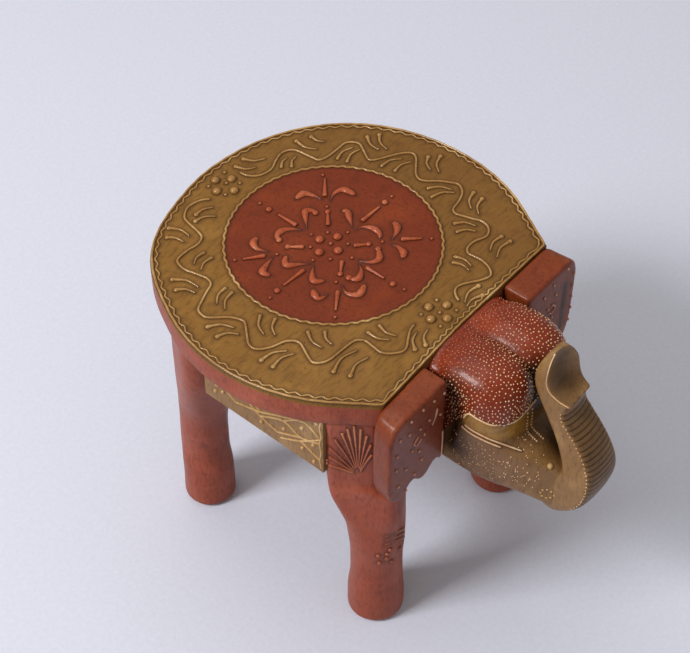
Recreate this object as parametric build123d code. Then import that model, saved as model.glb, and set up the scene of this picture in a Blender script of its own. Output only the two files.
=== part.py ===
from build123d import *

import math
import os

# A carved and painted wooden stool in the shape of an elephant, in millimetres.
# The elephant faces -Y and stands on Z = 0. Distances ahead and behind are
# measured from the middle of the round seat, sideways ones from the centre line.

# Seat
seat_height = 240.0
seat_radius = 125.5
seat_thickness = 20.0
seat_front = 94.0
corner_overhang = 5.0
seat_edge_round = 2.5

# Raised paste lines on the seat. Their turns are given as ahead and sideways.
paste_width = 2.0
paste_height = 1.2
paste_ball_width = 6.0
paste_ball_height = 2.2
edge_line_inset = 3.2
panel_behind = 14.5
panel_aside = 2.2
panel_radius = 72.0
panel_arm_start = 29.0
panel_arm_end = 46.0
flower_half_width = 7.8
flower_middles = ((76.5, -2.5), (-105.5, -4.5))
right_wave = (
    (-104, -20.5), (-110, -34), (-104.7, -44.3), (-88.8, -48), (-81.3, -57), (-82, -74.7), (-72, -78.4),
    (-50.5, -77), (-44.7, -92), (-37, -100), (-23, -91), (-13, -87), (2, -99), (11, -97), (22, -79),
    (42.5, -84.7), (49.6, -68), (56, -50.5), (74, -49), (79, -38), (71, -20.5),
)
left_wave = (
    (-106, 11.7), (-94.7, 16.7), (-92, 29), (-97, 44), (-90.5, 53), (-73, 55.5), (-70, 80), (-62, 86),
    (-47, 78), (-35, 95), (-26, 102), (-13, 87.5), (-3, 87), (15, 98), (25.4, 85), (31, 74.6), (54, 79),
    (59, 70), (56, 55), (63, 51), (78, 49), (82.5, 44), (72.5, 25), (80, 14),
)

# Legs
foot_radius = 20.0
waist_share = 0.87
front_foot_overhang = 7.0
front_foot_angle = 40.0
front_hip_width = 47.0
front_hip_depth = 53.0
front_hip_corner = 4.0
front_hip_along = 28.5
rear_foot_inset = 2.5
rear_foot_angle = 47.0
rear_hip_angle = 57.0
rear_hip_width = 53.0
rear_hip_depth = 46.0
rear_hip_corner = 16.0
leg_top_inset = 2.0

# Boards of the belly
board_drop = 53.0
board_inset = 21.5
side_board_thickness = 10.0
side_board_front = 66.5
side_board_behind = 36.0
chest_board_thickness = 12.0
chest_board_half_width = 56.0
rump_board_thickness = 10.0

# Head
head_half_width = 42.0
head_depth = 62.0
head_bottom = 84.0
cheek_share = 0.6
brow_share = 0.7
brow_drop = 17.0
dome_half_width = 23.0
dome_half_depth = 30.5
dome_half_height = 26.0
dome_rise = 7.0
dome_middle = 31.0
dome_inset = 0.5
nape_drop = 0.5
muzzle_half_width = 17.0
muzzle_reach = 92.0
muzzle_top = 50.0
muzzle_fall = 10.0
muzzle_bottom = 97.0

# Trunk
trunk_reach = 116.0
trunk_width = 27.0
trunk_rise = 31.0
trunk_tip_behind = 42.0
trunk_lip_behind = 26.0
trunk_lip_thickness = 13.0
trunk_root_behind = 42.0
trunk_chin_drop = 5.0
trunk_lip_lean = 1.0
trunk_neck_ahead = 3.0
trunk_brow_ahead = 13.0
trunk_root_ahead = 10.0

# Ears
ear_overhang = 9.0
ear_height = 80.0
ear_thickness = 21.0
ear_corner = 15.0
ear_scallops = (0.14, 0.58)
ear_scallop_radius = 9.0
ear_scallop_rise = 7.0

# Dowels
leg_dowel_diameter = 12.0
leg_dowel_in_seat = 12.0
leg_dowel_in_leg = 32.0
head_dowel_diameter = 10.0
head_dowel_spacing = 44.0
head_dowel_drop = 46.0
head_dowel_in_head = 26.0
ear_dowel_diameter = 6.0
ear_dowel_inset = 18.0
ear_dowel_drop = 60.0
ear_dowel_in_ear = 13.0
ear_dowel_in_leg = 16.0
dowel_play = 0.1

# Worked out from the sizes above
overall_length = seat_radius + seat_front + trunk_reach
seat_y = overall_length / 2 - seat_radius
leg_height = seat_height - seat_thickness
corner_distance = seat_radius + corner_overhang
corner_side = math.sqrt(corner_distance ** 2 - seat_front ** 2)
ear_width = corner_side + ear_overhang - head_half_width
ear_dowel_side = corner_side - ear_dowel_inset
board_face = seat_radius - board_inset
board_bottom = leg_height - board_drop


def ahead(distance):
    """Y of a point this far ahead of the middle of the seat."""
    return seat_y - distance


def below(drop):
    """Z of a point this far below the top of the seat."""
    return seat_height - drop


def on_ring(distance, angle):
    """Ahead and sideways distances of a point, its angle measured from straight ahead."""
    turn = math.radians(angle)
    return distance * math.cos(turn), distance * math.sin(turn)


def block(side_range, ahead_range, height_range):
    """A box between two sideways, two ahead and two Z values."""
    size = [abs(pair[1] - pair[0]) for pair in (side_range, ahead_range, height_range)]
    middle_y = ahead((ahead_range[0] + ahead_range[1]) / 2)
    middle_x = (side_range[0] + side_range[1]) / 2
    middle_z = (height_range[0] + height_range[1]) / 2
    return Pos(middle_x, middle_y, middle_z) * Box(*size)


def seat_outline(inset):
    """The round seat with straight sides running on to its two front corners."""
    radius = seat_radius - inset
    corner = corner_distance - inset
    front = seat_front
    side = math.sqrt(corner ** 2 - front ** 2)
    turn = math.atan2(side, front) + math.acos(radius / corner)
    touch_side = radius * math.sin(turn)
    touch_ahead = radius * math.cos(turn)
    wedge = make_face(Polyline(
        (-touch_side, ahead(touch_ahead)),
        (-side, ahead(front)),
        (side, ahead(front)),
        (touch_side, ahead(touch_ahead)),
        close=True,
    ))
    beyond = Pos(0, ahead(front + seat_radius)) * Rectangle(4 * seat_radius, 2 * seat_radius)
    return Pos(0, seat_y) * Circle(radius) + wedge - beyond


def make_seat():
    """The plank that is sat on, its edges eased."""
    plank = extrude(Pos(0, 0, leg_height) * seat_outline(0), seat_thickness)
    rims = plank.edges().filter_by(lambda edge: abs(edge.center().Z - seat_height) < 0.01)
    return fillet(rims, seat_edge_round)


def squeezed(outline):
    """A flat shape on the top of the seat raised to the height of the paste."""
    return extrude(Pos(0, 0, seat_height - paste_height) * outline, 2 * paste_height)


def make_paste():
    """The main raised lines: the edge line, the line round the red panel, its arms and the two waves."""
    lines = [squeezed(seat_outline(edge_line_inset) - seat_outline(edge_line_inset + paste_width))]
    panel = Pos(panel_aside, ahead(-panel_behind))
    ring = Circle(panel_radius + paste_width / 2) - Circle(panel_radius - paste_width / 2)
    lines.append(squeezed(panel * ring))
    arm_length = panel_arm_end - panel_arm_start
    arm = Pos(panel_arm_start + arm_length / 2, 0) * Rectangle(arm_length, paste_width)
    for turn in (0, 90, 180, 270):
        lines.append(squeezed(panel * Rot(0, 0, turn) * arm))
    for wave in (right_wave, left_wave):
        route = Spline(*[(side, ahead(distance)) for distance, side in wave])
        lines.append(squeezed(trace(route, line_width=paste_width)))
    ball_half = paste_ball_width / 2
    for middle in flower_middles:
        for step, side in ((1, 0), (-1, 0), (0, 1), (0, -1)):
            ball_x = middle[1] + side * flower_half_width
            ball_y = ahead(middle[0] + step * flower_half_width)
            ball = scale(Sphere(1.0), by=(ball_half, ball_half, paste_ball_height))
            lines.append(Pos(ball_x, ball_y, seat_height) * ball)
    return lines


# Rings of a leg from the floor up: height as a share of the leg, how far the ring
# has moved from the foot's shape and place to the hip's, and how full it is.
front_leg_rings = (
    (0.0, 0.0, 0.85),
    (0.02, 0.0, 1.0),
    (0.12, 0.0, 0.98),
    (0.23, 0.0, waist_share),
    (0.40, 0.1, 0.97),
    (0.60, 0.6, 0.98),
    (0.77, 0.95, 1.0),
    (1.0, 1.0, 1.0),
)
rear_leg_rings = (
    (0.0, 0.0, 0.85),
    (0.02, 0.0, 1.0),
    (0.14, 0.0, 0.97),
    (0.32, 0.0, waist_share + 0.03),
    (0.52, 0.3, waist_share + 0.01),
    (0.72, 0.75, 0.92),
    (1.0, 1.0, 1.0),
)


def between(start, end, share):
    """A value this share of the way from start to end."""
    return start + share * (end - start)


def make_leg(rings, foot, hip, angle, hip_width, hip_depth, hip_corner):
    """A carved leg: a round foot that grows into a squarish hip, cut flush with the seat's edge."""
    sections = []
    for share, move, fullness in rings:
        width = fullness * between(2 * foot_radius, hip_width, move)
        depth = fullness * between(2 * foot_radius, hip_depth, move)
        corner = fullness * between(foot_radius - 0.2, hip_corner, move)
        middle_x = between(foot[1], hip[1], move)
        middle_y = ahead(between(foot[0], hip[0], move))
        place = Pos(middle_x, middle_y, share * leg_height) * Rot(0, 0, angle)
        sections.append(place * RectangleRounded(width, depth, corner))
    leg = loft(sections, ruled=True)
    hip_bottom = below(ear_height)
    hip_room = extrude(Pos(0, 0, hip_bottom) * seat_outline(leg_top_inset), seat_height)
    lower_room = block(
        (-2 * seat_radius, 2 * seat_radius),
        (-2 * seat_radius, 2 * seat_radius),
        (0, hip_bottom),
    )
    return leg & (hip_room + lower_room)


# The outer faces of the front hips run along the straight sides of the seat.
straight_angle = math.degrees(math.atan2(corner_side, seat_front) + math.acos(seat_radius / corner_distance))
along_angle = straight_angle - 90
front_foot = on_ring(seat_radius + front_foot_overhang - foot_radius, front_foot_angle)
front_hip_middle = on_ring(seat_radius - leg_top_inset - front_hip_depth / 2, straight_angle)
front_hip_shift = on_ring(front_hip_along, along_angle)
front_hip = (front_hip_middle[0] + front_hip_shift[0], front_hip_middle[1] + front_hip_shift[1])
rear_foot = on_ring(seat_radius - rear_foot_inset - foot_radius, 180 - rear_foot_angle)
rear_hip = on_ring(seat_radius - leg_top_inset - rear_hip_depth / 2, 180 - rear_hip_angle)

seat = make_seat()
for line in make_paste():
    seat = seat + line
front_leg = make_leg(
    front_leg_rings, front_foot, front_hip, straight_angle, front_hip_width, front_hip_depth, front_hip_corner
)
rear_leg = make_leg(
    rear_leg_rings, rear_foot, rear_hip, 180 - rear_hip_angle, rear_hip_width, rear_hip_depth, rear_hip_corner
)

# The belly boards stand in rebates that are cut in the legs.
side_board = block(
    (board_face - side_board_thickness, board_face),
    (-side_board_behind, side_board_front),
    (board_bottom, leg_height),
)
chest_board = block(
    (-chest_board_half_width, chest_board_half_width),
    (seat_front - chest_board_thickness, seat_front),
    (board_bottom, leg_height),
)
rump_ring = Circle(board_face) - Circle(board_face - rump_board_thickness)
rump_reach = (rear_hip[0] + rear_foot[0]) / 2
rump_room = block(
    (-seat_radius, seat_radius),
    (-2 * seat_radius, rump_reach),
    (board_bottom, leg_height),
)
rump_board = extrude(Pos(0, seat_y, board_bottom) * rump_ring, board_drop) & rump_room

front_leg = front_leg - side_board - chest_board
rear_leg = rear_leg - side_board - rump_board


def turned_pin(diameter, length):
    """A dowel standing on Z = 0."""
    return Pos(0, 0, length / 2) * Cylinder(diameter / 2, length)


def leg_pins(diameter):
    """One upright dowel in the top of each leg."""
    pins = []
    for middle in (front_hip, rear_hip):
        for side in (-1, 1):
            foot = Pos(side * middle[1], ahead(middle[0]), leg_height - leg_dowel_in_leg)
            pins.append(foot * turned_pin(diameter, leg_dowel_in_leg + leg_dowel_in_seat))
    return pins


def level_pins(diameter, sides, back, length, drop):
    """Dowels that lie level and point ahead, one at each sideways place."""
    start = [Pos(side, ahead(back), below(drop)) * Rot(90, 0, 0) for side in sides]
    return [place * turned_pin(diameter, length) for place in start]


head_pin_sides = (-head_dowel_spacing / 2, head_dowel_spacing / 2)
ear_pin_sides = (-ear_dowel_side, ear_dowel_side)
head_pin_back = seat_front - chest_board_thickness
ear_pin_back = seat_front - ear_dowel_in_leg
head_pin_length = chest_board_thickness + head_dowel_in_head
ear_pin_length = ear_dowel_in_leg + ear_dowel_in_ear


def drill(solid, pins):
    """Cut the holes for the dowels, each hole as deep as its dowel."""
    for pin in pins:
        solid = solid - pin
    return solid


leg_dowels = leg_pins(leg_dowel_diameter)
head_dowels = level_pins(
    head_dowel_diameter, head_pin_sides, head_pin_back, head_pin_length, head_dowel_drop
)
ear_dowels = level_pins(
    ear_dowel_diameter, ear_pin_sides, ear_pin_back, ear_pin_length, ear_dowel_drop
)
leg_holes = leg_pins(leg_dowel_diameter + 2 * dowel_play)
head_holes = level_pins(
    head_dowel_diameter + 2 * dowel_play, head_pin_sides, head_pin_back, head_pin_length, head_dowel_drop
)
ear_holes = level_pins(
    ear_dowel_diameter + 2 * dowel_play, ear_pin_sides, ear_pin_back, ear_pin_length, ear_dowel_drop
)


def side_view(points):
    """A face in the upright middle plane, from points given as ahead and drop."""
    return make_face(Polyline(*[(0, ahead(x), below(drop)) for x, drop in points], close=True))


def make_head():
    """The head block with its two domes and the muzzle that runs out to the trunk."""
    front = seat_front + head_depth
    muzzle = seat_front + muzzle_reach
    half = head_half_width
    cheek = seat_front + cheek_share * head_depth
    plan = make_face(Polyline(
        (-half, ahead(seat_front)),
        (-half, ahead(cheek)),
        (-brow_share * half, ahead(front)),
        (-muzzle_half_width, ahead(muzzle)),
        (muzzle_half_width, ahead(muzzle)),
        (brow_share * half, ahead(front)),
        (half, ahead(cheek)),
        (half, ahead(seat_front)),
        close=True,
    ))
    plan_prism = extrude(Pos(0, 0, below(muzzle_bottom)) * plan, muzzle_bottom)
    profile = side_view((
        (seat_front, brow_drop),
        (between(seat_front, front, brow_share), brow_drop),
        (front, 2 * brow_drop),
        (front, muzzle_top),
        (muzzle, muzzle_top + muzzle_fall),
        (muzzle, muzzle_bottom),
        (between(front, muzzle, brow_share), muzzle_bottom),
        (front, head_bottom + muzzle_fall / 2),
        (seat_front, head_bottom),
    ))
    head = plan_prism & extrude(profile, amount=half, both=True)
    dome_centre = below(dome_half_height - dome_rise)
    nape_half_height = dome_half_height - dome_rise - nape_drop
    for side in (-1, 1):
        dome_side = side * (half - dome_inset - dome_half_width)
        dome = scale(Sphere(1.0), by=(dome_half_width, dome_half_depth, dome_half_height))
        nape = extrude(Rot(90, 0, 0) * Ellipse(dome_half_width, nape_half_height), dome_middle)
        head = head + Pos(dome_side, ahead(seat_front), dome_centre) * nape
        head = head + Pos(dome_side, ahead(seat_front + dome_middle), dome_centre) * dome
    return head


def make_trunk():
    """The trunk that rises from the muzzle, a bent slab with an open, cupped tip."""
    crown = seat_front + trunk_reach
    tip = crown - trunk_tip_behind
    chin = crown - trunk_root_behind
    lip_front = crown - trunk_lip_behind
    root_middle = (muzzle_top + muzzle_bottom) / 2
    crown_drop = muzzle_top - trunk_lip_lean

    def at(x, drop):
        return Vector(0, ahead(x), below(drop))

    up = (0, 0, 1)
    forward = (0, -1, 0)
    chin_curve = Spline(
        at(chin, muzzle_bottom),
        at(between(chin, crown, 0.3), muzzle_bottom + trunk_chin_drop),
        at(between(chin, crown, 0.72), between(muzzle_bottom, crown_drop, 0.28)),
        at(crown, crown_drop),
        tangents=[forward, up],
    )
    brow_curve = Spline(
        at(crown, crown_drop),
        at(between(crown, lip_front, 0.36), between(crown_drop, 0, 0.4)),
        at(lip_front, trunk_lip_thickness),
        tangents=[up, (0, 1, 0.6)],
    )
    lip = Polyline(
        at(lip_front, trunk_lip_thickness),
        at(lip_front + trunk_lip_lean, 0),
        at(between(lip_front, tip, 0.85), -trunk_rise / 6),
        at(tip - trunk_lip_lean, -trunk_rise / 2),
        at(tip + trunk_lip_lean, -trunk_rise),
        at(tip - trunk_lip_thickness / 2, -trunk_rise + 2 * trunk_lip_lean),
    )
    back_curve = Spline(
        at(tip - trunk_lip_thickness / 2, -trunk_rise + 2 * trunk_lip_lean),
        at(tip - trunk_lip_thickness, -trunk_rise / 6),
        at(tip + trunk_neck_ahead, between(0, muzzle_top, 0.42)),
        at(tip + trunk_brow_ahead, muzzle_top),
        at(tip + trunk_root_ahead, root_middle),
    )
    root = Polyline(
        at(tip + trunk_root_ahead, root_middle),
        at(chin, root_middle),
        at(chin, muzzle_bottom),
    )
    outline = make_face(chin_curve + brow_curve + lip + back_curve + root)
    return extrude(outline, amount=trunk_width / 2, both=True)


def make_ear():
    """A thick ear board with a rounded outer side and a scalloped lower edge."""
    slab = block(
        (head_half_width, head_half_width + ear_width),
        (seat_front, seat_front + ear_thickness),
        (below(ear_height), seat_height),
    )
    outer_x = head_half_width + ear_width
    corners = slab.edges().filter_by(Axis.Y).filter_by(lambda edge: abs(edge.center().X - outer_x) < 0.01)
    slab = fillet(corners, ear_corner)
    for share in ear_scallops:
        scallop_x = head_half_width + share * ear_width
        scallop_z = below(ear_height) - ear_scallop_radius + ear_scallop_rise
        scallop = Pos(scallop_x, ahead(seat_front + ear_thickness / 2), scallop_z) * Rot(90, 0, 0)
        slab = slab - scallop * Cylinder(ear_scallop_radius, 2 * ear_thickness)
    return slab


head = drill(make_head() + make_trunk(), head_holes)
ear = drill(make_ear(), ear_holes)
seat = drill(seat, leg_holes)
front_leg = drill(front_leg, leg_holes + ear_holes)
rear_leg = drill(rear_leg, leg_holes)
chest_board = drill(chest_board, head_holes + ear_holes)

nodes = {
    "seat_top": seat,
    "front_left_leg": front_leg,
    "front_right_leg": mirror(front_leg, about=Plane.YZ),
    "rear_left_leg": rear_leg,
    "rear_right_leg": mirror(rear_leg, about=Plane.YZ),
    "left_belly_board": side_board,
    "right_belly_board": mirror(side_board, about=Plane.YZ),
    "chest_board": chest_board,
    "rump_board": rump_board,
    "head": head,
    "left_ear": ear,
    "right_ear": mirror(ear, about=Plane.YZ),
    "leg_dowels": Compound(children=leg_dowels),
    "head_dowels": Compound(children=head_dowels),
    "ear_dowels": Compound(children=ear_dowels),
}

os.makedirs("parts", exist_ok=True)
for name, shape in nodes.items():
    export_step(shape, f"parts/{name}.step")
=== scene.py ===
import math
import random
from itertools import product

import bmesh
import bpy
from mathutils import Matrix, Vector, kdtree, noise
from mathutils.bvhtree import BVHTree


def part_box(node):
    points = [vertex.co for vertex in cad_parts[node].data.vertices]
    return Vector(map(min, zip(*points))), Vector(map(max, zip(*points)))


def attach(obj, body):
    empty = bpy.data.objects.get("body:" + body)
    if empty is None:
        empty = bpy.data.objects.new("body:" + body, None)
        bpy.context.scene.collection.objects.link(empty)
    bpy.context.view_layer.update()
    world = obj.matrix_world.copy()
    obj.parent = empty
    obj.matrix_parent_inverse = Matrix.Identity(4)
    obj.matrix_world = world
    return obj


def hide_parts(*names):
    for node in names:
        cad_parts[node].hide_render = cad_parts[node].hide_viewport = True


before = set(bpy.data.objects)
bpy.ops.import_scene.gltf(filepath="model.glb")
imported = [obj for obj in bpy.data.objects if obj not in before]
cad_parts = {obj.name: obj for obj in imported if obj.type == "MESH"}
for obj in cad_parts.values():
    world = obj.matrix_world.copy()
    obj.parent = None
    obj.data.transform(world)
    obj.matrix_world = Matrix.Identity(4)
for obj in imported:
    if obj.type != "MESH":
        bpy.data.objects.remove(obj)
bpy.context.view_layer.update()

scene = bpy.context.scene
mm = 0.001

# Camera. It looks down at the stool from the elephant's right and a little from the front, through a
# long lens. Its tilt and turn are in degrees.
camera_place = (-0.5888, -0.4486, 1.0417)
camera_tilt = 41.29
camera_turn = -50.02
camera_lens = bpy.data.cameras.new("camera")
camera_lens.sensor_width = 36.0
camera_lens.lens = 88.7
camera = bpy.data.objects.new("camera", camera_lens)
camera.location = camera_place
camera.rotation_euler = (math.radians(camera_tilt), 0.0, math.radians(camera_turn))
scene.collection.objects.link(camera)
scene.camera = camera

# Seat. A wooden plank 20 mm thick, turned round at the back and cut straight at the front, with two short
# straight sides that run on to the front corners. Its top is gold with a red round panel, its edge is
# brick red, and umber is rubbed into the hollows beside the paste before the varnish; that darkening is
# partly painted shade. The gold is painted darker towards the elephant's left as painted shade.
seat_low, seat_high = [Vector(corner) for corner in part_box("seat_top")]
seat_thickness = 20.0 * mm
seat_radius = (seat_high.x - seat_low.x) / 2
seat_middle = Vector((0.0, seat_high.y - seat_radius, seat_low.z + seat_thickness))
seat_front = seat_middle.y - seat_low.y
seat_corner = 90.5 * mm
corner_distance = math.hypot(seat_corner, seat_front)
straight_side = math.atan2(seat_corner, seat_front) + math.acos(seat_radius / corner_distance)
seat_round = 2.4 * mm
front_round_share = 0.3
seat_wear = 0.15 * mm
seat_segments = 640
seat_rings = 98
panel_middle = (-14.5, 2.2)
panel_radius = 72.0
panel_edge = 0.3 * mm
right_corner = (97.6, 84.0)
right_distance = math.hypot(*right_corner) * mm
right_straight = math.atan2(right_corner[1], right_corner[0]) + math.acos(seat_radius / right_distance)
right_slant = (right_corner[0] - seat_front / mm) / right_corner[1]
seat_swells = ((-142, 26, 4.0), (130, 45, 2.3))


def at(side, ahead, rise):
    """A place in millimetres to the elephant's left, ahead of the seat's middle and above its top."""
    return seat_middle + Vector((side, -ahead, rise)) * mm


def tone(red, green, blue):
    """A paint colour, from 0 to 255 a channel, as the shader's linear colour."""
    shares = [channel / 255 for channel in (red, green, blue)]
    linear = [((share + 0.055) / 1.055) ** 2.4 if share > 0.04 else share / 12.92 for share in shares]
    return (*linear, 1.0)


def node(tree, kind, inputs, **settings):
    """A shader node with its settings, and its inputs linked or set."""
    made = tree.nodes.new("ShaderNode" + kind)
    for name, value in settings.items():
        setattr(made, name, value)
    for name, value in inputs.items():
        if isinstance(value, bpy.types.NodeSocket):
            tree.links.new(value, made.inputs[name])
        else:
            made.inputs[name].default_value = value
    return made


def blend(tree, share, first, second):
    """The first colour where share is 0 and the second where it is 1."""
    inputs = {"Fac": share, "Color1": first, "Color2": second}
    return node(tree, "MixRGB", inputs).outputs["Color"]


def cloud(tree, where, scale, detail=3.0, stretch=(1.0, 1.0, 1.0)):
    """Noise with this many lumps a metre, drawn out along an axis by a small stretch."""
    placed = node(tree, "Mapping", {"Vector": where, "Scale": stretch}).outputs["Vector"]
    inputs = {"Vector": placed, "Scale": scale, "Detail": detail, "Roughness": 0.6}
    return node(tree, "TexNoise", inputs).outputs["Fac"]


def step(tree, value, low, high):
    """0 below low and 1 above high, with a soft change between."""
    inputs = {"Value": value, "From Min": low, "From Max": high}
    return node(tree, "MapRange", inputs, interpolation_type="SMOOTHSTEP").outputs["Result"]


def maths(tree, operation, first, second):
    """A sum on two values."""
    return node(tree, "Math", {0: first, 1: second}, operation=operation).outputs["Value"]


def scaled(tree, value, factor):
    """A value times a factor."""
    return maths(tree, "MULTIPLY", value, factor)


def line_at(tree, value, start, slope, rise):
    """A straight line's height at a value: the rise at its start, and the slope from there."""
    return maths(tree, "ADD", scaled(tree, maths(tree, "SUBTRACT", value, start), slope), rise)


def coordinate(tree, where, axis):
    """How far the place is along the X, Y or Z axis."""
    return node(tree, "SeparateXYZ", {"Vector": where}).outputs[axis]


def aged(tree, where, paint, hollow, rubbed, brushed=(1.0, 1.0, 0.3)):
    """Old paint: cloudy, darker in brush marks and hollows, and of a lighter tone where hands rub it."""
    paint, hollow, rubbed = tone(*paint), tone(*hollow), tone(*rubbed)
    patches = cloud(tree, where, 30.0, 3.0)
    body = blend(tree, step(tree, patches, 0.45, 0.8), paint, rubbed)
    marks = cloud(tree, where, 480.0, 4.0, brushed)
    body = blend(tree, scaled(tree, step(tree, marks, 0.45, 0.75), 0.6), body, hollow)
    stains = cloud(tree, where, 75.0, 5.0)
    body = blend(tree, scaled(tree, step(tree, stains, 0.5, 0.85), 0.7), body, hollow)
    specks = cloud(tree, where, 520.0, 1.0)
    return blend(tree, step(tree, specks, 0.70, 0.78), body, hollow)


def one_paint(*colours):
    """The function that lays a single old paint all over a piece."""
    return lambda tree, where: aged(tree, where, *colours)


# Umber: the dark of the wash rubbed in beside the paste, and of the painted shade in recesses and creases.
umber_and_shade = tone(40, 22, 10)


def varnished(name, colours, roughness=0.4, coat=0.2, relief=0.3, dull_where_dark=False):
    """A paint under varnish, laid on by colours. Umber wash and painted shade darken it and can dull its
    gloss.
    """
    material = bpy.data.materials.new(name)
    material.use_nodes = True
    tree = material.node_tree
    shader = tree.nodes["Principled BSDF"]
    where = node(tree, "TexCoord", {}).outputs["Object"]
    wash_and_shade = node(tree, "Attribute", {}, attribute_name="wash_and_shade").outputs["Fac"]
    # Umber wash and painted shade: the vertex attribute darkens the paint to umber.
    paint = blend(tree, wash_and_shade, colours(tree, where), umber_and_shade)
    tree.links.new(paint, shader.inputs["Base Color"])
    worn = cloud(tree, where, 60.0, 4.0)
    rougher = {"Value": worn, "To Min": roughness - 0.12, "To Max": roughness + 0.16}
    gloss = node(tree, "MapRange", rougher)
    tree.links.new(gloss.outputs["Result"], shader.inputs["Roughness"])
    shader.inputs["Specular IOR Level"].default_value = 0.18
    shader.inputs["Coat Weight"].default_value = coat
    if dull_where_dark:
        clean = maths(tree, "SUBTRACT", 1.0, wash_and_shade)
        tree.links.new(scaled(tree, clean, coat), shader.inputs["Coat Weight"])
    shader.inputs["Coat Roughness"].default_value = 0.1
    fine = cloud(tree, where, 520.0, 3.0)
    lumps = cloud(tree, where, 110.0, 2.0)
    height = maths(tree, "ADD", fine, scaled(tree, lumps, 2.0))
    bump = node(tree, "Bump", {"Height": height, "Strength": relief, "Distance": 0.4 * mm})
    tree.links.new(bump.outputs["Normal"], shader.inputs["Normal"])
    return material


brick_red = one_paint((141, 66, 43), (98, 40, 25), (160, 84, 62))


def seat_colours(tree, where):
    """Gold, with the red round panel in the middle and brick red on the plank's edge."""
    x, y, z = [coordinate(tree, where, axis) for axis in "XYZ"]
    middle = at(panel_middle[1], panel_middle[0], 0)
    level_place = node(tree, "CombineXYZ", {"X": x, "Y": y, "Z": middle.z}).outputs["Vector"]
    away = node(tree, "VectorMath", {0: level_place, 1: middle}, operation="DISTANCE")
    edge = panel_radius * mm
    panel = step(tree, away.outputs["Value"], edge + panel_edge, edge - panel_edge)
    gold = aged(tree, where, (121, 83, 31), (78, 50, 15), (138, 99, 43), (0.25, 1.0, 1.0))
    # Painted shade: the gold darkens towards the elephant's left, where the light falls off.
    painted_falloff_shade = scaled(tree, step(tree, x, -60 * mm, 100 * mm), 0.36)
    gold = blend(tree, painted_falloff_shade, gold, tone(88, 54, 22))
    red = aged(tree, where, (107, 40, 12), (80, 27, 7), (122, 50, 17), (1.0, 1.0, 1.0))
    top = blend(tree, panel, gold, red)
    upper = step(tree, z, seat_middle.z - 3.4 * mm, seat_middle.z - 2.6 * mm)
    return blend(tree, upper, brick_red(tree, where), top)


def start_ring(mesh, segments, place):
    """A ring of vertices that keep their angles, each put where place says for its angle."""
    around = mesh.verts.layers.float.new("around")
    for vert in bmesh.ops.create_circle(mesh, segments=segments, radius=1.0)["verts"]:
        vert[around] = math.atan2(vert.co.y, vert.co.x)
        vert.co = place(vert[around])
    return list(mesh.edges)


def pull_ring(mesh, ring, place):
    """The open ring of edges extruded once, its new vertices put where place says."""
    around = mesh.verts.layers.float["around"]
    grown = bmesh.ops.extrude_edge_only(mesh, edges=ring)["geom"]
    new = {item for item in grown if isinstance(item, bmesh.types.BMVert)}
    for vert in new:
        vert.co = place(vert[around])
    edges = [item for item in grown if isinstance(item, bmesh.types.BMEdge)]
    return [edge for edge in edges if edge.verts[0] in new and edge.verts[1] in new]


def close_ends(mesh):
    """Faces over the open rings, and every face turned outwards."""
    bmesh.ops.holes_fill(mesh, edges=mesh.edges)
    bmesh.ops.recalc_face_normals(mesh, faces=mesh.faces)


def sweep(mesh, segments, outlines):
    """A closed form through these outlines, each given as the function that places its vertices."""
    ring = start_ring(mesh, segments, outlines[0])
    for outline in outlines[1:]:
        ring = pull_ring(mesh, ring, outline)
    close_ends(mesh)


def finished(name, data, finish):
    """An object from mesh data, shaded smooth, with its finish."""
    data.name = name
    data.shade_smooth()
    data.materials.clear()
    data.materials.append(finish)
    made = bpy.data.objects.new(name, data)
    scene.collection.objects.link(made)
    return made


def piece(name, mesh, finish):
    """A finished object from a bmesh."""
    data = bpy.data.meshes.new(name)
    mesh.to_mesh(data)
    mesh.free()
    return finished(name, data, finish)


def fix_on(made, solid=None):
    """The piece rides on the stool, and stands in for a solid if one is named."""
    if solid:
        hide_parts(solid)
    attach(made, "root")
    return made


def seat_edge(angle):
    """How far the seat's edge is from its middle, at this angle from straight ahead."""
    turn = abs(math.remainder(angle, math.tau))
    if turn >= straight_side:
        return seat_radius
    return min(seat_front / math.cos(turn), seat_radius / math.cos(straight_side - turn))


def soft(share):
    """Slow at both ends of 0 to 1."""
    share = min(max(share, 0.0), 1.0)
    return share * share * (3 - 2 * share)


def cut_edge(angle):
    """The edge as the saw left it: the right front corner is drawn in, and the back is fuller in places.

    A swell has its middle and its spread in degrees, and its height in millimetres.
    """
    turn = math.remainder(angle, math.tau)
    reach = seat_edge(turn)
    if -right_straight < turn < 0:
        front = seat_front / (math.cos(turn) + right_slant * math.sin(turn))
        reach = min(front, seat_radius / math.cos(right_straight + turn))
    elif -straight_side < turn < 0:
        reach = seat_radius
    for middle, spread, swell in seat_swells:
        away = abs(math.remainder(turn - math.radians(middle), math.tau))
        reach += swell * mm * soft(1 - away / math.radians(spread))
    return reach


def seat_ring(inset, share, rise):
    """The seat's outline, drawn in by an inset and a share, at a rise from its top."""
    def place(angle):
        front = abs(math.remainder(angle, math.tau)) < math.atan2(seat_corner, seat_front)
        reach = (cut_edge(angle) - inset * (front_round_share if front else 1.0)) * share
        flat = Vector((reach * math.sin(angle), -reach * math.cos(angle), rise))
        hand_worn = seat_wear * noise.noise(flat * 30.0)
        return seat_middle + flat + Vector((0, 0, hand_worn if rise == 0 else 0))
    return place


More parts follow.
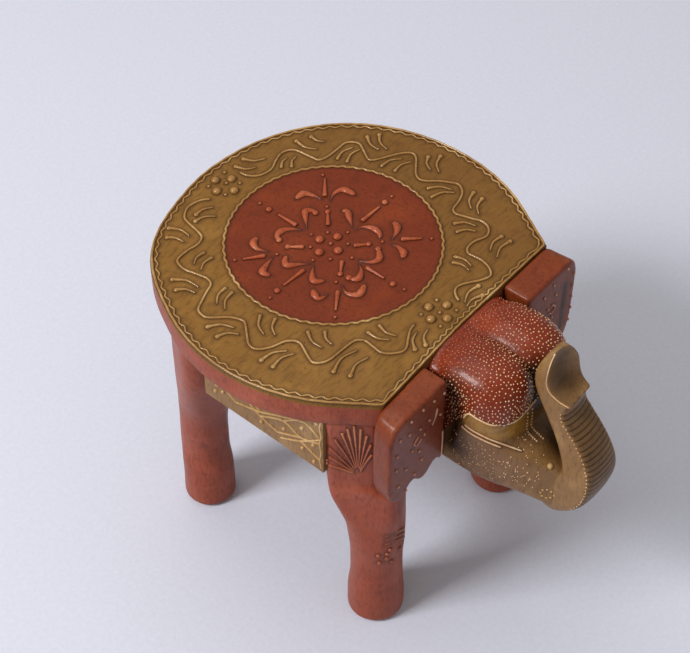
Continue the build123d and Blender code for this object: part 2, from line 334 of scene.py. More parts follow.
seat_outlines = []
for inset, lift in ((1.5, 0.0), (0.4, 0.4), (0.0, 1.5), (0.0, 8.0), (0.0, 14.0)):
    seat_outlines.append(seat_ring(inset * mm, 1.0, lift * mm - seat_thickness))
for turn in (0, 22, 45, 68, 90):
    lean = math.radians(turn)
    inset = seat_round * (1 - math.cos(lean))
    seat_outlines.append(seat_ring(inset, 1.0, seat_round * (math.sin(lean) - 1)))
for count in range(1, seat_rings):
    seat_outlines.append(seat_ring(seat_round, 1 - count / seat_rings, 0.0))
seat_mesh = bmesh.new()
sweep(seat_mesh, seat_segments, seat_outlines)
seat = piece("seat_plank", seat_mesh, varnished("seat_finish", seat_colours, roughness=0.46, coat=0.05))
fix_on(seat, "seat_top")

# Paste ornament on the seat. Lines and drops of thick paste are squeezed on to the gold before the last
# coats: two long waves, pairs of commas, two flowers of balls, a wavy line inside the edge and one round
# the panel. Places are millimetres ahead of the seat's middle and to the elephant's left.
paste_step = 1.1 * mm
drops_at_once = 40


def curved(before, start, end, after, share):
    """A value at a share of the way from start to end, on the smooth curve through all four."""
    pull = (end - before) * share + (2 * before - 5 * start + 4 * end - after) * share ** 2
    return start + (pull + (3 * start - before - 3 * end + after) * share ** 3) / 2


def four_about(points, index):
    """The one before an index, the one at it and the two after it, held at the ends."""
    return [points[min(max(index + offset, 0), len(points) - 1)] for offset in (-1, 0, 1, 2)]


def smooth_line(points):
    """Points about a millimetre apart on a smooth curve through the given ones."""
    line = []
    for index in range(len(points) - 1):
        spots = four_about(points, index)
        steps = max(2, round((spots[2] - spots[1]).length / paste_step))
        line += [curved(*spots, number / steps) for number in range(steps)]
    return line + [points[-1]]


def squeezed(points, thick, thin, belly=0.0):
    """A line of paste as places with radii. It thins from its start on, or is thickest at its belly."""
    line = smooth_line(points)
    lengths = [0.0]
    for first, second in zip(line, line[1:]):
        lengths.append(lengths[-1] + (second - first).length)
    drops = []
    for spot, distance in zip(line, lengths):
        share = distance / lengths[-1]
        fall = abs(share - belly) / max(belly, 1 - belly)
        radius = thin + (thick - thin) * (1 - fall) ** 1.5
        end = min(distance + 0.3 * radius, lengths[-1] - distance + 0.3 * radius, radius)
        drops.append((spot, radius * math.sqrt(max(0.0, 1 - (1 - end / radius) ** 2))))
    return drops


def worked(made):
    """The mesh of a piece once its modifiers or its bevel have worked on it."""
    graph = bpy.context.evaluated_depsgraph_get()
    return bpy.data.meshes.new_from_object(made.evaluated_get(graph))


def paste_tubes(name, lines, finish, closed=False):
    """Round tubes along lines of places and radii, as one piece."""
    curve = bpy.data.curves.new(name, "CURVE")
    curve.dimensions = "3D"
    curve.bevel_depth = 1.0
    curve.bevel_resolution = 2
    curve.use_fill_caps = True
    for line in lines:
        spline = curve.splines.new("POLY")
        spline.points.add(len(line) - 1)
        spline.use_cyclic_u = closed
        for point, (spot, radius) in zip(spline.points, line):
            point.co = (*spot, 1.0)
            point.radius = radius
    holder = bpy.data.objects.new(name, curve)
    scene.collection.objects.link(holder)
    data = worked(holder)
    bpy.data.objects.remove(holder)
    return fix_on(finished(name, data, finish))


def paste_drops(name, drops, finish, flat=1.0, segments=12):
    """Drops of paste at places with radii, as one piece. They are flattened where flat is below 1."""
    mesh = bmesh.new()
    for first in range(0, len(drops), drops_at_once):
        batch = bmesh.new()
        for spot, radius in drops[first:first + drops_at_once]:
            bmesh.ops.create_uvsphere(
                batch, u_segments=segments, v_segments=segments // 2, radius=1.0,
                matrix=Matrix.Translation(spot) @ Matrix.Diagonal((radius, radius, radius * flat, 1.0)),
            )
        data = bpy.data.meshes.new("batch")
        batch.to_mesh(data)
        batch.free()
        mesh.from_mesh(data)
        bpy.data.meshes.remove(data)
    return fix_on(piece(name, mesh, finish))


def every_drop(lines):
    """The places and radii of all the lines together."""
    return [drop for line in lines for drop in line]


def rub_in_and_shade(carved, drops, reach, strength):
    """Umber wash and painted shade: the piece's vertices near the drops darken, fading over the reach."""
    tree = kdtree.KDTree(len(drops))
    for index, (spot, radius) in enumerate(drops):
        tree.insert(spot, index)
    tree.balance()
    data = carved.data
    wash_and_shade = data.attributes.get("wash_and_shade") or data.attributes.new("wash_and_shade", "FLOAT", "POINT")
    for vert, value in zip(data.vertices, wash_and_shade.data):
        spot, index, distance = tree.find(vert.co)
        gap = max(0.0, distance - drops[index][1])
        if gap < reach:
            value.value = max(value.value, strength * (1 - gap / reach) ** 1.5)


def paste_gold(tree, where):
    """Pale gold on the raised paste, darkened low down with umber and painted shade where it meets the
    plank.
    """
    body = aged(tree, where, (150, 108, 54), (104, 68, 28), (196, 158, 102))
    low = step(tree, coordinate(tree, where, "Z"), seat_middle.z + 0.5 * mm, seat_middle.z)
    return blend(tree, low, body, umber_and_shade)


seat_paste = varnished("seat_paste", paste_gold, roughness=0.32, coat=0.4)

right_wave = (
    (-104, -20.5), (-108, -25.5), (-110, -34), (-108.4, -39.7), (-104.7, -44.3), (-99.7, -46),
    (-88.8, -48), (-83.4, -50.5), (-81.3, -57), (-82.5, -65), (-82, -74.7), (-78, -77.6), (-72, -78.4),
    (-66, -77), (-60.5, -75.7), (-55.5, -75), (-50.5, -77), (-47.6, -84.7), (-44.7, -92), (-41.8, -98),
    (-37, -100), (-32, -99), (-23, -91), (-17.5, -88), (-13, -87), (-9.6, -89), (-4, -94), (2, -99),
    (7, -99.7), (11, -97), (15, -91), (18, -83), (22, -79), (26, -78), (31, -80), (37, -83),
    (42.5, -84.7), (47, -81), (49, -76), (49.6, -68), (50.4, -57), (52, -53), (56, -50.5), (62.5, -51),
    (69, -51.5), (74, -49), (79, -43), (79, -38), (75.4, -32), (72, -25.5), (71, -20.5),
)
left_wave = (
    (-106, 11.7), (-100.5, 12.5), (-94.7, 16.7), (-92, 23), (-92, 29), (-95, 36), (-97, 44), (-95, 50),
    (-90.5, 53), (-83, 54), (-78, 54.6), (-73, 55.5), (-70.5, 61), (-70, 72), (-70, 80), (-67, 84),
    (-62, 86), (-56, 83), (-51, 80), (-47, 78), (-43, 81), (-35, 95), (-30, 101), (-26, 102),
    (-22, 99), (-17.5, 93), (-13, 87.5), (-8, 85), (-3, 87), (3, 92), (10, 96), (15, 98), (19.6, 96),
    (23, 92), (25.4, 85), (27, 77), (31, 74.6), (36, 76), (42.5, 78), (48, 80), (54, 79), (58, 75),
    (59, 70), (56, 62), (56, 55), (59, 51), (63, 51), (70, 51.5), (78, 49), (82.5, 44), (80, 37),
    (76, 31), (72.5, 25), (72.5, 20), (76, 16), (80, 14),
)
right_commas = (
    ((-106, -58), (-91, -54.5)), ((-101, -65), (-90, -61)), ((-101, -37), (-97, -25)),
    ((-97, -42), (-90, -30)), ((-72, -90), (-55, -84)), ((-64, -95), (-53, -89)),
    ((-73, -60), (-71, -71)), ((-66, -60), (-64, -72)), ((-41, -74), (-36, -87)),
    ((-35, -74), (-29, -87)), ((-27, -105), (-14, -95)), ((-17, -107), (-8, -97)),
    ((-8, -77), (4, -87)), ((1, -73), (10, -83)), ((17, -104), (24, -88)), ((26, -103), (29, -87)),
    ((24, -68), (39, -72)), ((32, -61), (42, -66)), ((57, -82), (57, -60)), ((67, -78), (66, -60)),
    ((53, -44), (67, -40)), ((55, -35), (68, -35)), ((84, -36), (76, -24)), ((87, -29), (80, -18)),
)
left_commas = (
    ((-112, 14), (-101, 22)), ((-113, 23), (-102, 33)), ((-88, 34), (-91, 43)), ((-83, 39), (-87, 48)),
    ((-97, 60), (-81, 63)), ((-92, 70), (-82, 72)), ((-64, 65), (-63, 80)), ((-57, 67), (-58, 82)),
    ((-62, 95), (-48, 90)), ((-57, 102), (-44, 94)), ((-36, 79), (-30, 93)), ((-26, 81), (-23, 95)),
    ((-17, 106), (-8, 97)), ((-11, 112), (-2, 99)), ((2, 82), (15, 91)), ((9, 77), (18, 90)),
    ((28, 98), (36, 85)), ((36, 97), (43, 84)), ((36, 67), (48, 74)), ((42, 62), (51, 70)),
    ((67, 77), (69, 62)), ((74, 77), (76, 60)), ((55, 43), (68, 43)), ((57, 38), (69, 39)),
    ((82, 32), (84, 15)), ((89, 27), (87, 13)),
)
flower_balls = (
    (68.8, -2.9), (76.3, -10), (76.7, 5.8), (83.8, -2.9), (-105.5, -12), (-113.4, -5), (-97, -4),
    (-106, 3.3),
)
flower_dots = (
    (77, -1.9), (69, -10.7), (69, 5.3), (84.6, -10.7), (84, 6.4), (-106, -2), (-113, -12), (-99, -10.5),
    (-114, 5), (-99, 4),
)
wave_radius = 0.85 * mm
comma_thick = 1.25 * mm
comma_thin = 0.55 * mm
comma_lean = 0.14


def seat_spots(places, rise=0.15):
    """Places on the seat's top, given ahead and to the left."""
    return [at(side, ahead, rise) for ahead, side in places]


def comma(ball, tail, lean):
    """A bowed stroke of paste from its thick end to its thin one."""
    middle = [(first + second) / 2 for first, second in zip(ball, tail)]
    across = (ball[1] - tail[1], tail[0] - ball[0])
    bow = (middle[0] + lean * across[0], middle[1] + lean * across[1])
    return squeezed(seat_spots((ball, bow, tail)), comma_thick, comma_thin)


seat_lines = [squeezed(seat_spots(wave), wave_radius, wave_radius) for wave in (right_wave, left_wave)]
seat_balls = [(at(side, ahead, 0.2), 3.1 * mm) for ahead, side in flower_balls]
seat_balls += [(at(side, ahead, 0.1), 1.2 * mm) for ahead, side in flower_dots]
for commas, hand in ((right_commas, 1), (left_commas, -1)):
    for ball, tail in commas:
        outwards = math.hypot(*ball) > math.hypot(*tail)
        seat_lines.append(comma(ball, tail, comma_lean * hand * (1 if outwards else -1)))
        seat_balls.append((at(ball[1], ball[0], 0.1), (1.75 if outwards else 1.4) * mm))
paste_tubes("seat_strokes", seat_lines, seat_paste)
paste_drops("seat_drops", seat_balls, seat_paste, flat=0.75)


def edge_line(inset, swing, waves):
    """A closed line inside the seat's edge that swings in and out this many times."""
    line = []
    for number in range(8 * waves):
        angle = math.tau * number / (8 * waves)
        reach = cut_edge(angle) - (inset + swing * math.sin(waves * angle)) * mm
        line.append(seat_middle + Vector((reach * math.sin(angle), -reach * math.cos(angle), 0.1 * mm)))
    return line


def panel_line(swing, waves):
    """A closed rippled line round the red panel."""
    line = []
    for number in range(8 * waves):
        angle = math.tau * number / (8 * waves)
        reach = panel_radius + swing * math.sin(waves * angle)
        side, ahead = panel_middle[1] + reach * math.sin(angle), panel_middle[0] + reach * math.cos(angle)
        line.append(at(side, ahead, 0.1))
    return line


edge_lines = [
    [(spot, 0.65 * mm) for spot in edge_line(4.3, 0.8, 92)],
    [(spot, 0.85 * mm) for spot in edge_line(1.5, 0.1, 60)],
    [(spot, 0.9 * mm) for spot in panel_line(0.4, 64)],
]
paste_tubes("seat_edge_lines", edge_lines, seat_paste, closed=True)

# Red panel ornament. A flower of round balls with strokes, arcs and leaves between its arms, painted red
# like the panel and rubbed lighter on its tops.
panel_balls = (
    (-22.8, -2, 3.1), (-15.5, -11, 3.1), (-15.5, 7.5, 3.1), (-7, -2, 3.1), (-67, -2.5, 2.2),
    (-14, -54, 2.2), (-12, 52.5, 2.2), (39, -2, 2.2), (-43, -19.5, 2.2), (-34.5, -20.5, 2.0),
    (-41, 15, 2.2), (-35.5, 21, 2.0), (0, 28, 2.0), (4.5, 15.5, 2.0), (12, 16, 2.2), (14, -16, 2.4),
    (7.5, -17, 2.0), (-15, 0, 1.5),
)
panel_dots = (
    (-30, -2), (-23, -11), (-23, 6.5), (-14, -19), (-13, 15), (-6, -11), (-6, 7), (4, -1), (-75.5, -2),
    (-13.5, -61.5), (-12, 60), (47.5, -1), (-35.5, -30), (-53, -51.5), (-39, 24.5), (-61, 46), (10, 23),
    (33, 46), (10, -24), (29, -47.5),
)
panel_arms = (
    ((-43, -2), (-59, -2)), ((-12.7, -29.5), (-14, -48)), ((-12.5, 29), (-12, 47)),
    ((16.5, -1.7), (31.5, -1.7)), ((-26.5, -14), (-34.5, -20.5)), ((-40.5, -36), (-49.5, -47.5)),
    ((-27, 11.5), (-35.5, 21)), ((-46.5, 31), (-57.5, 44)), ((-2, 8), (4.5, 15.5)),
    ((18, 32.5), (28, 42)), ((1, -7.5), (7.5, -17)), ((16, -29.5), (25.5, -43)),
)
panel_arcs = (
    ((-43, -19.5), (-46, -18), (-47.5, -14), (-45, -8), (-37, -2)),
    ((-30, -27), (-27, -32), (-23.5, -33), (-19, -28), (-13, -22)),
    ((-41, 15), (-44, 15.5), (-47, 12), (-43, 7), (-36, 0.5)),
    ((-29, 28), (-26, 30), (-21, 26), (-13.5, 20.5)),
    ((12, 16), (18, 10), (16, 4), (8.5, 0.5)),
    ((6.5, 25), (3, 28), (-3, 28.5), (-9, 25), (-10.5, 20)),
    ((14, -16), (19, -13), (16, -6), (10.5, -2)),
    ((3.5, -28), (-1.5, -32.5), (-7, -28), (-11, -21.5)),
)
panel_leaves = (
    ((-55.5, -27), (-54.5, -32), (-49, -34.5), (-41, -31.5)),
    ((-26.5, -47), (-32, -48), (-34.5, -41), (-36, -32.5)),
    ((-60, 17), (-59, 24), (-52, 27), (-46, 28)), ((-32, 45.5), (-41, 44), (-43.5, 37), (-41, 30)),
    ((4, 41.5), (8, 40.5), (11.5, 36), (13.5, 28)), ((29, 20), (27, 24), (21, 26), (15.5, 25.5)),
    ((3, -38.5), (6, -41), (11, -42), (13, -35)), ((25.5, -14), (28, -23), (21, -27), (14.5, -23.5)),
)


def paste_red(tree, where):
    """The panel's own red on the raised paste, rubbed pale pink on top, and umber with painted shade low
    down.
    """
    body = aged(tree, where, (152, 70, 38), (116, 46, 20), (186, 110, 74))
    low = step(tree, coordinate(tree, where, "Z"), seat_middle.z + 0.9 * mm, seat_middle.z + 0.1 * mm)
    return blend(tree, low, body, tone(70, 24, 10))


panel_paste = varnished("panel_paste", paste_red, roughness=0.4, coat=0.15)
panel_lines = []
for places in panel_arms:
    panel_lines.append(squeezed(seat_spots(places, 0.2), 1.8 * mm, 0.9 * mm))
for places in panel_arcs:
    panel_lines.append(squeezed(seat_spots(places, -0.8), 3.1 * mm, 1.1 * mm, belly=0.35))
for places in panel_leaves:
    panel_lines.append(squeezed(seat_spots(places, -0.8), 3.3 * mm, 1.1 * mm, belly=0.3))
paste_tubes("panel_strokes", panel_lines, panel_paste)
panel_rounds = [(at(side, ahead, 0.2), radius * mm) for ahead, side, radius in panel_balls]
panel_rounds += [(at(side, ahead, 0.2), 1.2 * mm) for ahead, side in panel_dots]
paste_drops("panel_drops", panel_rounds, panel_paste, flat=0.75)

# Umber wash and painted shade darken the plank beside the paste.
rub_in_and_shade(seat, every_drop(seat_lines + edge_lines) + seat_balls, reach=2.6 * mm, strength=0.7)
rub_in_and_shade(seat, every_drop(panel_lines) + panel_rounds, reach=2.4 * mm, strength=0.5)

# Legs. Each is carved from one piece of wood: a round foot, a slim shank and a hip that comes up under
# the plank's edge, pegged and glued to it. The front hips are squarish and the rear ones are rounder.
leg_height = seat_low.z / mm
leg_segments = 96
leg_rings = 110
foot_radius = 20.0
foot_edge_height = 4.5
foot_edge_share = 0.17
hip_bottom = 152.0
hip_inset = 2.0
shank_freedom = 40.0
knife_marks = 0.03
sides = ((1, "left"), (-1, "right"))
front_leg_shape = {
    "foot": (86.2, 72.3), "hip": (73.4, 69.5), "hip_half": (23.5, 26.5), "hip_power": 9.0,
    "face_angle": math.degrees(straight_side),
    "moves": ((0, 0), (48, 0), (88, 0.04), (110, 0.19), (130, 0.52), (150, 0.97), (165, 1), (220, 1)),
    "fullness": ((4, 1.0), (26, 0.98), (51, 0.87), (88, 0.97), (132, 0.98), (220, 1.0)),
}
rear_leg_shape = {
    "foot": (-70.6, 75.6), "hip": (-50.5, 84.0), "hip_half": (25.0, 22.8), "hip_power": 4.4,
    "face_angle": 123.0,
    "moves": ((0, 0), (25, -0.03), (60, -0.12), (100, 0.0), (114, 0.17), (158, 0.76), (205, 1), (220, 1)),
    "fullness": ((4, 0.94), (31, 0.93), (70, 0.86), (114, 0.88), (158, 0.96), (220, 1.0)),
}


def level(table, height):
    """The table's value at a height in millimetres, straight between its rows."""
    for (low, first), (high, second) in zip(table, table[1:]):
        if height <= high:
            return first + (second - first) * max(0.0, height - low) / (high - low)
    return table[-1][1]


def eased(table, height):
    """The table's value with its corners carved round."""
    return sum(level(table, height + offset) for offset in (-12, -6, 0, 6, 12)) / 5


def boxed(angle, power):
    """Where a line at this angle leaves a square of half size 1, with crisper corners at a high power."""
    across, up = math.cos(angle), math.sin(angle)
    reach = (abs(across) ** power + abs(up) ** power) ** (-1 / power)
    return across * reach, up * reach


def leg_ring(height, side, foot, hip, hip_half, hip_power, face_angle, moves, fullness):
    """The leg's outline at a height, worked between the foot's round and the hip's squarish shape."""
    move = eased(moves, height)
    foot_edge = foot_edge_share * (1 - min(height / foot_edge_height, 1.0)) ** 2
    full = eased(fullness, height) * (1 - foot_edge)
    ahead = foot[0] + (hip[0] - foot[0]) * move
    out = foot[1] + (hip[1] - foot[1]) * move
    half_along = full * (foot_radius + (hip_half[0] - foot_radius) * move)
    half_across = full * (foot_radius + (hip_half[1] - foot_radius) * move)
    power = 2.0 + (hip_power - 2.0) * soft(move)
    turn = math.radians(face_angle)
    free = shank_freedom * (1 - soft((height - hip_bottom + 10) / 12))

    def place(angle):
        along, across = boxed(angle, power)
        along *= half_along
        across *= half_across
        spot = Vector((
            ahead + across * math.cos(turn) - along * math.sin(turn),
            out + across * math.sin(turn) + along * math.cos(turn),
        ))
        middle = Vector((ahead, out))
        knife = noise.noise(Vector((spot.x, spot.y, height)) / 20.0)
        spot = middle + (spot - middle) * (1 + knife_marks * knife)
        toward = math.atan2(spot.y, spot.x)
        limit = min(seat_edge(toward), cut_edge(side * toward)) / mm - hip_inset + free
        if spot.length > limit:
            spot = spot * (limit / spot.length)
        spot.x = min(spot.x, seat_front / mm - 0.2 + free)
        return at(side * spot.y, spot.x, height - seat_middle.z / mm)
    return place


def carve_leg(name, side, shape):
    """A leg from the floor up to the plank."""
    mesh = bmesh.new()
    heights = [0, 0.5, 1.2, 2.2, 3.4]
    heights += [5 + (leg_height - 5) * count / leg_rings for count in range(leg_rings + 1)]
    sweep(mesh, leg_segments, [leg_ring(height, side, **shape) for height in heights])
    leg = piece(name, mesh, leg_finish)
    fix_on(leg, name)
    return leg


leg_finish = varnished("leg_finish", brick_red, roughness=0.44, coat=0.1)
front_legs = {}
for side, side_name in sides:
    front_legs[side] = carve_leg(f"front_{side_name}_leg", side, front_leg_shape)
    carve_leg(f"rear_{side_name}_leg", side, rear_leg_shape)

# Leg ornament. A fan of paste rays opens upwards on each front hip, under the plank's straight side, and
# a knot of drops with short strokes above it sits at the ankle.
fan_face = 123.0
fan_turn = math.radians(57.3)
fan_gap = 0.16
fan_bow = 1.2
fan_root = (22.0, -72.3)
fan_tips = (
    (2.7, -64.7), (3.2, -56.1), (3.5, -46.8), (7.3, -36.9), (11.7, -30.1), (15.2, -25.6), (19.2, -21.9),
    (23.5, -25.2), (27.3, -31.6), (29.9, -40.3), (30.6, -50.5),
)
ankle_drops = (
    (101.2, 79.2, -150.9), (97.1, 84.7, -155.6), (100.2, 80.9, -160.6), (101.9, 77.4, -167.9),
    (97.7, 84.1, -165.3), (103.0, 71.6, -157.8), (100.6, 80.9, -155.0),
)
ankle_strokes = (
    ((102.8, 66.2, -152.6), (102.0, 73.4, -145.2), (99.0, 81.2, -143.2)),
    ((102.8, 66.2, -147.6), (101.0, 73.4, -140.2), (98.0, 80.2, -138.2)),
    ((101.8, 67.2, -142.0), (100.0, 73.4, -135.5), (97.0, 79.2, -133.2)),
)


def skin_of(*pieces):
    """Search trees over the pieces' finished surfaces."""
    graph = bpy.context.evaluated_depsgraph_get()
    return [BVHTree.FromObject(carved, graph) for carved in pieces]


def pressed(skins, spot, lift=0.1):
    """The nearest place on the skins, lifted off them a little."""
    found = min((skin.find_nearest(spot) for skin in skins), key=lambda hit: hit[3])
    return found[0] + found[1] * lift * mm


def hip_spot(along, rise, side):
    """A place on a front hip's outer face, along the plank's straight side and up from the seat's top."""
    ahead = fan_face * math.cos(fan_turn) + along * math.sin(fan_turn)
    left = fan_face * math.sin(fan_turn) - along * math.cos(fan_turn)
    return at(side * left, ahead, rise)


paste_on_red = one_paint((156, 80, 48), (112, 52, 30), (196, 130, 84))
leg_paste = varnished("leg_paste", paste_on_red, roughness=0.36, coat=0.3)
for side, side_name in sides:
    skins = skin_of(front_legs[side])
    lines = []
    for tip in fan_tips:
        start = tuple(root + fan_gap * (end - root) for root, end in zip(fan_root, tip))
        half = tuple((first + second) / 2 for first, second in zip(start, tip))
        bow = (half[0], half[1] + fan_bow)
        spots = [pressed(skins, hip_spot(*place, side)) for place in (tip, bow, start)]
        lines.append(squeezed(spots, 1.1 * mm, 0.5 * mm))
    for places in ankle_strokes:
        spots = [pressed(skins, at(side * left, ahead, rise)) for ahead, left, rise in places]
        lines.append(squeezed(spots, 0.9 * mm, 0.6 * mm))
    paste_tubes(f"{side_name}_leg_rays", lines, leg_paste)
    drops = []
    for ahead, left, rise in ankle_drops:
        drops.append((pressed(skins, at(side * left, ahead, rise)), 1.5 * mm))
    for rise in (-64.0, -60.8):
        drops.append((pressed(skins, hip_spot(1.2, rise, side)), 1.2 * mm))
    paste_drops(f"{side_name}_leg_drops", drops, leg_paste, flat=0.9)
    # Umber wash and painted shade darken the hip and ankle beside the paste.
    rub_in_and_shade(front_legs[side], every_drop(lines) + drops, reach=2.6 * mm, strength=0.7)

# Belly boards. Four thin wooden planks close the box between the legs, let into them at their ends. They
# are painted gold, and the two side boards carry a lattice of paste lines with a drop in each field.
lattice_lines = (
    ((-31, -51), (-14, -49), (4.4, -48.5)),
    ((-31, -57), (-22.6, -54.6), (-13.3, -60.7)),
    ((-22.6, -54.6), (-6, -50), (8.4, -57.8), (23.2, -62.3)),
    ((-13.3, -60.7), (4.4, -55.0), (8.6, -53.4), (27, -43), (46.1, -33.2)),
    ((4.4, -49.6), (8.6, -53.4)),
    ((8.4, -57.8), (28.5, -46.5), (43.1, -51.5), (58.8, -44.9)),
    ((28.5, -46.5), (45.0, -33.5), (58.5, -39.5)),
    ((25.6, -66.1), (43.0, -55.2), (59.5, -40.5)),
    ((43.0, -55.2), (58.8, -62.0)),
    ((23.2, -62.3), (43.1, -51.5)),
)
lattice_end = (
    (60.5, -20), (59.0, -28.7), (60.2, -36.9), (58.8, -44.9), (60.0, -53.5), (58.8, -62.0), (60.0, -70),
)
lattice_shift = 5.0
lattice_drops = (
    (56.5, -26.0), (44.2, -40.8), (28.6, -54.3), (9.3, -62.7), (53.5, -50.3), (44.2, -61.2), (54.0, -67.1),
    (-24.3, -59.0), (-31.2, -63.2),
)


def finish_solids(names, finish):
    """The finish of solids that are shown as they are."""
    for name in names:
        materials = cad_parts[name].data.materials
        materials.clear()
        materials.append(finish)


board_gold = one_paint((130, 96, 58), (84, 56, 28), (156, 122, 80))
paste_on_board = one_paint((176, 138, 86), (126, 88, 46), (214, 182, 132))
board_finish = varnished("board_finish", board_gold, roughness=0.5, coat=0.1)
board_paste = varnished("board_paste", paste_on_board, roughness=0.36, coat=0.3)
finish_solids(("left_belly_board", "right_belly_board", "chest_board", "rump_board"), board_finish)
for side, side_name in sides:
    low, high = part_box(f"{side_name}_belly_board")
    face = max(abs(low[0]), abs(high[0])) / mm
    lines = []
    for places in lattice_lines + (lattice_end,):
        spots = [at(side * face, ahead + lattice_shift, rise) for ahead, rise in places]
        lines.append(squeezed(spots, 0.75 * mm, 0.75 * mm))
    paste_tubes(f"{side_name}_board_lattice", lines, board_paste)
    drops = [(at(side * face, ahead + lattice_shift, rise), 1.5 * mm) for ahead, rise in lattice_drops]
    paste_drops(f"{side_name}_board_drops", drops, board_paste)

# Ears. Each is a thick board beside the head, pegged to the front leg, its outer corners rounded and its
# lower edge cut in scallops. Drops of paste follow its outer edge, with a curl near the middle.
ear_outline = (
    (42.3, 0), (84, 0), (91, -1.5), (95.8, -6), (97.8, -13), (98.4, -30), (98.4, -50), (97.4, -64),
    (94.5, -74), (88, -80), (82, -79), (78, -74), (74, -71), (70, -74), (66, -79), (61, -80),
    (56, -77), (53, -73.5), (50, -72.5), (47, -75), (42.3, -80),
)
ear_drops = {}
ear_drops[-1] = (
    (56.1, -6.9), (48.7, -26.8), (46, -8.7), (60.1, -21.7), (67, -5.2), (64.5, -31.4), (69, -21.9),
    (78.5, -5.5), (88.9, -14.1), (76.2, -36.9), (68.8, -44.4), (66.2, -55.3), (72.8, -64.2),
    (91.7, -41.5), (89.1, -61), (91.5, -27.5), (80.5, -74.0), (79.9, -17.0), (82.0, -50.0),
)
ear_drops[1] = (
    (85.3, -4.8), (94.1, -15.7), (93.8, -27.1), (94.6, -38.7), (95.5, -50.4), (95.9, -63.0), (70.0, -8.0),
    (60.0, -12.0), (74.0, -20.0), (66.0, -28.0), (72.0, -40.0), (76.0, -52.0), (64.0, -50.0), (56.0, -40.0),
    (52.0, -24.0),
)
ear_curls = (
    ((52.4, -17.3), (53.5, -24), (56.6, -30.1)),
    ((70.5, -27.5), (74.5, -31.5), (71.5, -35.5), (67.5, -33.0)),
    ((44.4, -48), (43.8, -60), (43.6, -74)),
)
ear_voxel = 1.3 * mm
ear_back_inset = 2.5
ear_glue_gap = 0.2


def settle(made):
    """The modifiers are worked into the piece's mesh."""
    data = worked(made)
    made.modifiers.clear()
    made.data = data
    data.name = made.name


def row(start, stride, count, radius):
    """Drops of one radius in a straight row. Places are to the left, ahead and above the seat's top."""
    drops = []
    for number in range(count):
        spot = [first + part * number for first, part in zip(start, stride)]
        drops.append((at(*spot), radius * mm))
    return drops


def carve(name, mesh, voxel, smoothing, finish):
    """Blocks run together into one carved form, its arrises softened by hand."""
    bmesh.ops.recalc_face_normals(mesh, faces=mesh.faces)
    blocked = piece(name, mesh, finish)
    remesh = blocked.modifiers.new("remesh", "REMESH")
    remesh.mode = "VOXEL"
    remesh.voxel_size = voxel
    rasp = blocked.modifiers.new("rasp", "SMOOTH")
    rasp.factor = 0.5
    rasp.iterations = smoothing
    settle(blocked)
    blocked.data.shade_smooth()
    return blocked


def near_corner(out):
    """0 on the ear's flat, and 1 at its outer edge, where its back is drawn in."""
    return soft((out - 86) / 10)


def ear_colours(tree, where):
    """Brick red on top and at the sides, browner on the face that looks ahead."""
    body = aged(tree, where, (112, 48, 20), (78, 28, 10), (128, 62, 32))
    face = aged(tree, where, (116, 50, 27), (76, 28, 13), (134, 70, 44))
    front = at(0, seat_front / mm + 17.5, 0).y
    ahead = step(tree, coordinate(tree, where, "Y"), front + 1.5 * mm, front - 1.0 * mm)
    return blend(tree, ahead, body, face)


ear_finish = varnished("ear_finish", ear_colours, roughness=0.34, coat=0.08, dull_where_dark=True)
paste_on_ear = one_paint((186, 124, 94), (136, 76, 54), (220, 174, 142))
ear_paste = varnished("ear_paste", paste_on_ear, roughness=0.32, coat=0.4)
for side, side_name in sides:
    low, high = [Vector(corner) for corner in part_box(f"{side_name}_ear")]
    back = (seat_middle.y - high.y) / mm
    thickness = (high.y - low.y) / mm
    mesh = bmesh.new()
    corners = []
    for out, rise in ear_outline:
        slant = right_slant * out if side < 0 else 0.0
        drawn_in = side * (out - ear_back_inset * near_corner(out))
        corners.append(mesh.verts.new(at(drawn_in, back + ear_glue_gap + slant, rise)))
    slab = mesh.faces.new(corners)
    grown = bmesh.ops.extrude_face_region(mesh, geom=[slab])["geom"]
    moved = [item for item in grown if isinstance(item, bmesh.types.BMVert)]
    for vert in moved:
        vert.co.x += side * ear_back_inset * mm * near_corner(abs(vert.co.x) / mm + ear_back_inset)
        vert.co.y = at(0, back + thickness, 0).y
    bmesh.ops.triangulate(mesh, faces=mesh.faces)
    ear = carve(f"{side_name}_ear_board", mesh, ear_voxel, 16, ear_finish)
    fix_on(ear, f"{side_name}_ear")
    skins = skin_of(ear)
    front = back + thickness
    lines = []
    for places in ear_curls:
        spots = [pressed(skins, at(side * out, front, rise)) for out, rise in places]
        lines.append(squeezed(spots, 0.8 * mm, 0.6 * mm))
    paste_tubes(f"{side_name}_ear_curls", lines, ear_paste)
    drops = [(pressed(skins, at(side * out, front, rise)), 1.1 * mm) for out, rise in ear_drops[side]]
    paste_drops(f"{side_name}_ear_drops", drops, ear_paste)
    # Umber wash and painted shade darken the ear beside the paste.
    rub_in_and_shade(ear, every_drop(lines) + drops, reach=2.0 * mm, strength=0.6)
    # Painted shade: a dark strip down the left ear's face stands for a gouge, which is not cut.
    if side > 0:
        painted_gouge_shade = row((84.9, front, -19.0), (0, 0, -3.0), 15, 1.2)
        rub_in_and_shade(ear, painted_gouge_shade, reach=4.0 * mm, strength=0.95)

